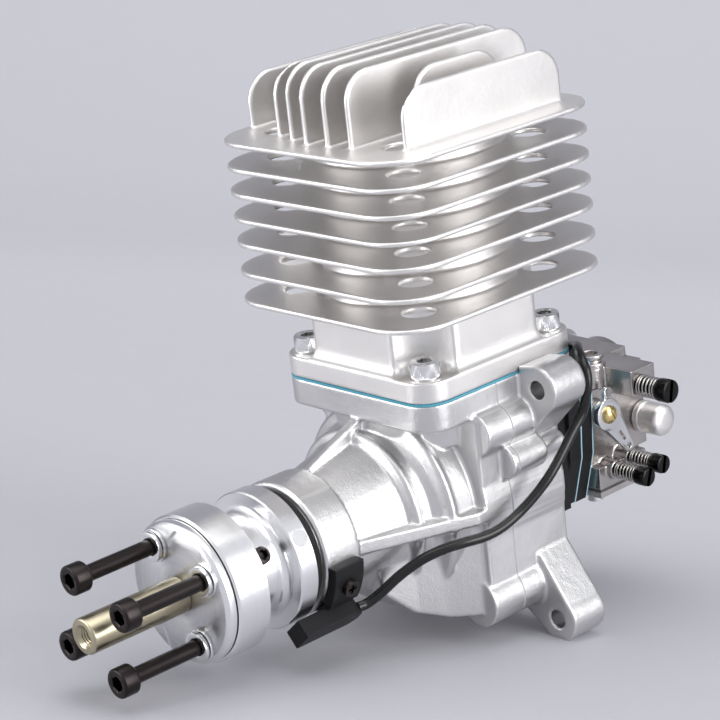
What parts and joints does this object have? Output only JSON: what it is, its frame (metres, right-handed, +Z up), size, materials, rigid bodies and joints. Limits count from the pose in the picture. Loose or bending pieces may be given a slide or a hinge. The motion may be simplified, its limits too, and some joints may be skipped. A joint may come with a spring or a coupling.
{
  "type": "model aircraft engine",
  "caption": "Single-cylinder two-stroke model aircraft engine with finned cylinder, front propeller hub, rear carburettor and four mounting lugs.",
  "frame": {"origin": "on the crankshaft axis at the front face of the propeller washer, where the propeller seats", "axes": "+Y along the crankshaft towards the carburettor, +Z up the cylinder, +X to the side that carries the throttle lever and the sensor lead"},
  "size_m": [0.0904, 0.2123, 0.1765],
  "materials": {
    "cast": "bead-blasted casting",
    "cylinder_cast": "bead-blasted casting",
    "machined": "turned",
    "piston_metal": "machined",
    "steel": "ground",
    "zinc_steel": "zinc plated",
    "black_steel": "black oxide",
    "yellow_steel": "yellow zinc",
    "spring_steel": "drawn wire",
    "brass": "machined",
    "carb_metal": "dark chromated die casting",
    "black_plastic": "moulded",
    "blue_gasket": "coated fibre",
    "dark_gasket": "rubber",
    "reed": "laminate",
    "lead": "heat-shrink sleeve"
  },
  "bodies": {
    "engine": {"crankcase_front": "cast", "crankcase_rear": "cast", "case_gasket": "dark_gasket", "case_screws": "zinc_steel", "cylinder": "cylinder_cast", "cylinder_gasket": "blue_gasket", "cylinder_screws": "zinc_steel", "bearing_outer_rings": "steel", "bearing_balls": "steel", "front_seal": "dark_gasket", "sensor_clamp": "black_plastic", "sensor_screw": "black_steel", "sensor_bar": "black_plastic", "sensor_lead": "lead", "sensor_plug": "black_plastic", "manifold_gasket": "dark_gasket", "reed_block": "black_plastic", "reed_petals": "reed", "manifold_block": "black_plastic", "manifold_screws": "zinc_steel", "spacer_gasket": "blue_gasket", "spacer_plate": "black_plastic", "carb_gasket": "blue_gasket", "carb_body": "carb_metal", "carb_screws": "zinc_steel", "fuel_union": "machined", "fuel_nipple": "zinc_steel", "pump_gasket": "dark_gasket", "pump_cover": "carb_metal", "pump_screws": "zinc_steel", "return_spring": "spring_steel", "screw_springs": "spring_steel"},
    "crank": {"crankshaft": "steel", "hub_key": "steel", "drive_hub": "machined", "hub_set_screw": "black_steel", "timing_magnet": "steel", "prop_washer": "machined", "prop_bolts": "black_steel", "prop_spring_washers": "black_steel", "prop_flat_washers": "zinc_steel", "centre_sleeve": "yellow_steel", "bearing_inner_rings": "steel"},
    "piston_group": {"piston": "piston_metal", "piston_ring": "spring_steel", "wrist_pin": "steel", "pin_circlips": "spring_steel", "connecting_rod": "steel", "crank_pin": "steel", "big_end_bearing": "steel"},
    "throttle": {"throttle_shaft": "zinc_steel", "throttle_plate": "brass", "throttle_lever": "zinc_steel", "lever_screw": "brass"},
    "choke": {"choke_shaft": "zinc_steel", "choke_plate": "brass"},
    "idle_stop": {"idle_screw": "black_steel"},
    "rich_mixture": {"rich_needle": "black_steel"},
    "lean_mixture": {"lean_needle": "black_steel"}
  },
  "joints": [
    {"name": "crank_turn", "type": "hinge", "parent": "engine", "child": "crank", "pos_m": [0, 0, 0], "axis": [0, -1, 0], "continuous": true},
    {"name": "piston_slide", "type": "slide", "parent": "engine", "child": "piston_group", "axis": [0, 0, 1], "range_m": [-0.035, 0]},
    {"name": "throttle_turn", "type": "hinge", "parent": "engine", "child": "throttle", "pos_m": [0, 0.1479, 0.0095], "axis": [1, 0, 0], "range_deg": [0, 60], "stiffness_Nm_per_rad": 0.02, "springref_deg": -17.19},
    {"name": "choke_turn", "type": "hinge", "parent": "engine", "child": "choke", "pos_m": [0, 0.1641, 0.0095], "axis": [1, 0, 0], "range_deg": [0, 80]},
    {"name": "idle_stop_turn", "type": "hinge", "parent": "engine", "child": "idle_stop", "pos_m": [0, 0.1572, 0.0169], "axis": [1, 0, 0], "range_deg": [-360, 360]},
    {"name": "rich_mixture_turn", "type": "hinge", "parent": "engine", "child": "rich_mixture", "pos_m": [0, 0.1512, -0.0097], "axis": [1, 0, 0], "range_deg": [-540, 540]},
    {"name": "lean_mixture_turn", "type": "hinge", "parent": "engine", "child": "lean_mixture", "pos_m": [0, 0.1583, -0.0079], "axis": [1, 0, 0], "range_deg": [-540, 540]}
  ]
}
